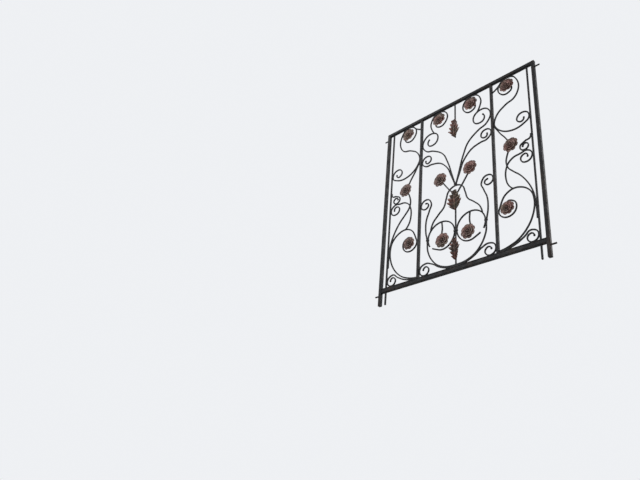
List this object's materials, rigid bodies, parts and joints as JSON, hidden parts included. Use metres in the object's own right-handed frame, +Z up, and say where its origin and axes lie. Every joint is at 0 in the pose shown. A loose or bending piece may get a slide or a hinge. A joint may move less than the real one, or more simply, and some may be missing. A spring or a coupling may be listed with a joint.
{
  "type": "wrought iron window grille",
  "caption": "Window grille of square iron bars with a frame, two inner posts, mirrored scrolls and spirals, and copper rosettes and leaves on the bar ends.",
  "frame": {"origin": "centre of the left outer post's foot face, on the window sill, left as seen from outside", "axes": "+X to the right as seen from outside, +Y into the wall, +Z up"},
  "size_m": [1.5, 0.0385, 1.686],
  "materials": {
    "frame_iron": "worn near-black paint with brown rust bloom",
    "scroll_iron": "worn near-black paint",
    "pin_iron": "worn near-black paint",
    "rosette_copper": "dull brown copper patina with gold high spots",
    "leaf_copper": "dull brown copper patina with gold high spots"
  },
  "bodies": {
    "root": {"base_scroll": "scroll_iron", "bottom_rail": "frame_iron", "crown_rosettes": "rosette_copper", "foot_rosettes": "rosette_copper", "left_crown_spiral": "scroll_iron", "left_foot_scrolls": "scroll_iron", "left_high_scroll": "scroll_iron", "left_inner_post": "frame_iron", "left_loop": "scroll_iron", "left_post": "frame_iron", "left_ring_scroll": "scroll_iron", "left_side_bar": "frame_iron", "left_stem": "scroll_iron", "left_tall_spiral": "scroll_iron", "left_wall_pins": "pin_iron", "lower_axis_bar": "scroll_iron", "lower_leaf": "leaf_copper", "lyre_scroll": "scroll_iron", "middle_leaf": "leaf_copper", "right_crown_spiral": "scroll_iron", "right_foot_scrolls": "scroll_iron", "right_high_scroll": "scroll_iron", "right_inner_post": "frame_iron", "right_loop": "scroll_iron", "right_post": "frame_iron", "right_ring_scroll": "scroll_iron", "right_side_bar": "frame_iron", "right_stem": "scroll_iron", "right_tall_spiral": "scroll_iron", "right_wall_pins": "pin_iron", "ring_rosettes": "rosette_copper", "side_rosettes": "rosette_copper", "stem_rosettes": "rosette_copper", "top_axis_bar": "scroll_iron", "top_leaf": "leaf_copper", "top_rail": "frame_iron", "top_rosettes": "rosette_copper", "tulip_frame": "scroll_iron"}
  },
  "joints": []
}
